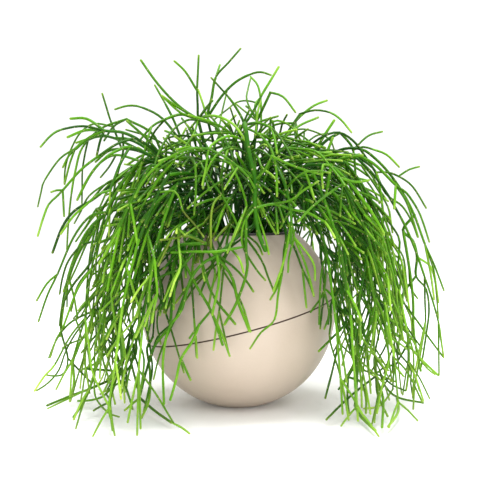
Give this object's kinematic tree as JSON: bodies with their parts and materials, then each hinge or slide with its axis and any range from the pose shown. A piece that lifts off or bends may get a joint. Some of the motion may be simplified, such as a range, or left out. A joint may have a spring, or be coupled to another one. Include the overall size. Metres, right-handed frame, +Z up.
{
  "type": "potted mistletoe cactus",
  "caption": "Trailing jointed cactus with thin forking stems, grown in a ball planter of two shells with a tilted seam, holding a grow pot of soil.",
  "frame": {"origin": "centre of the planter's flat foot, on the surface it stands on", "axes": "+Z up, the plant's front looks along -Y, X to the viewer's right"},
  "size_m": [0.429, 0.3543, 0.3772],
  "materials": {
    "planter": "warm beige moulded plastic, satin, fine even grain",
    "grow_pot": "black thin-walled plastic, dull",
    "soil": "dark peat crumb, dry and matt",
    "stem": "smooth waxy green stem skin, lighter towards the tips"
  },
  "bodies": {
    "root": {"pot_lower_shell": "planter", "pot_upper_shell": "planter", "grow_pot": "grow_pot", "soil": "soil", "spray_01": "stem", "spray_02": "stem", "spray_03": "stem", "spray_04": "stem", "spray_05": "stem", "spray_06": "stem", "spray_07": "stem", "spray_08": "stem", "spray_09": "stem", "spray_10": "stem", "spray_11": "stem", "spray_12": "stem", "spray_13": "stem", "spray_14": "stem", "spray_15": "stem", "spray_16": "stem", "spray_17": "stem", "spray_18": "stem", "spray_19": "stem", "spray_20": "stem", "spray_21": "stem", "spray_22": "stem", "spray_23": "stem", "spray_24": "stem", "spray_25": "stem", "spray_26": "stem", "spray_27": "stem", "spray_28": "stem", "spray_29": "stem", "spray_30": "stem", "spray_31": "stem", "spray_32": "stem", "spray_33": "stem", "spray_34": "stem", "spray_35": "stem", "spray_36": "stem", "spray_37": "stem", "spray_38": "stem", "spray_39": "stem", "spray_40": "stem", "spray_41": "stem", "spray_42": "stem", "spray_43": "stem", "spray_44": "stem", "spray_45": "stem", "spray_46": "stem", "spray_47": "stem", "spray_48": "stem", "spray_49": "stem", "spray_50": "stem", "spray_51": "stem", "spray_52": "stem", "spray_53": "stem", "spray_54": "stem"}
  },
  "joints": []
}
